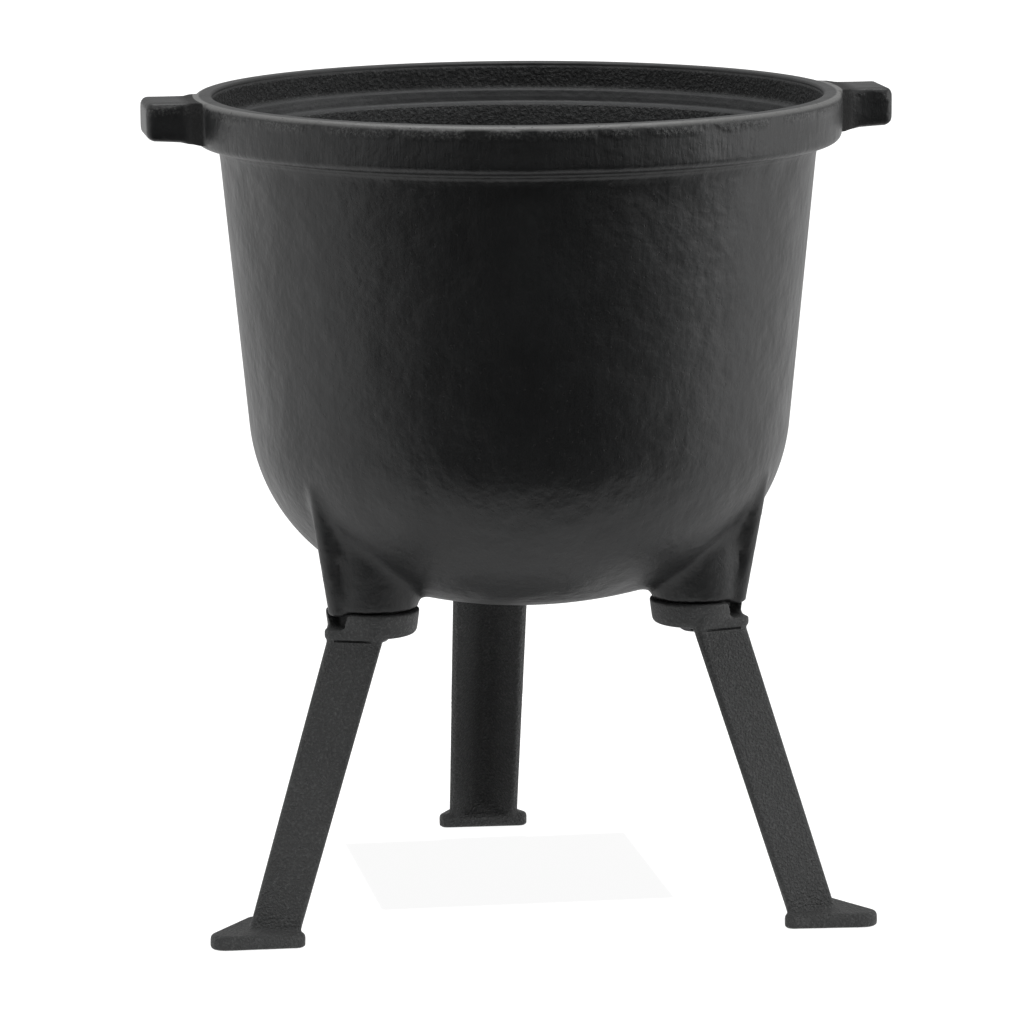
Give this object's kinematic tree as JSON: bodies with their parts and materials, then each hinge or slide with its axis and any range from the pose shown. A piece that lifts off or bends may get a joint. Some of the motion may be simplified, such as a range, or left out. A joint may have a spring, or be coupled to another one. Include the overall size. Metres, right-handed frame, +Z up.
{
  "type": "cast-iron fire pot on legs",
  "caption": "Round cast-iron fire pot with a thick collar, solid side lugs and bolted angle-section cast legs, for a charcoal or coal fire.",
  "frame": {"origin": "on the floor, under the middle of the whole object's box", "axes": "+Z up, +X along the line through both lugs, +Y towards the rear leg; the front two legs are on the -Y side"},
  "size_m": [0.348, 0.3274, 0.381],
  "materials": {
    "pot_iron": "black seasoned cast iron, satin, fine orange-peel skin",
    "leg_iron": "black cast iron, coarse sand-cast grain, matte",
    "bolt_steel": "black-oxide steel, satin",
    "washer_steel": "black-oxide steel, satin"
  },
  "bodies": {
    "root": {"fire_pot": "pot_iron", "leg_rear": "leg_iron", "leg_left": "leg_iron", "leg_right": "leg_iron", "leg_bolt_rear": "bolt_steel", "leg_bolt_left": "bolt_steel", "leg_bolt_right": "bolt_steel", "spring_washer_rear": "bolt_steel", "spring_washer_left": "bolt_steel", "spring_washer_right": "bolt_steel", "flat_washer_rear": "washer_steel", "flat_washer_left": "washer_steel", "flat_washer_right": "washer_steel"}
  },
  "joints": []
}
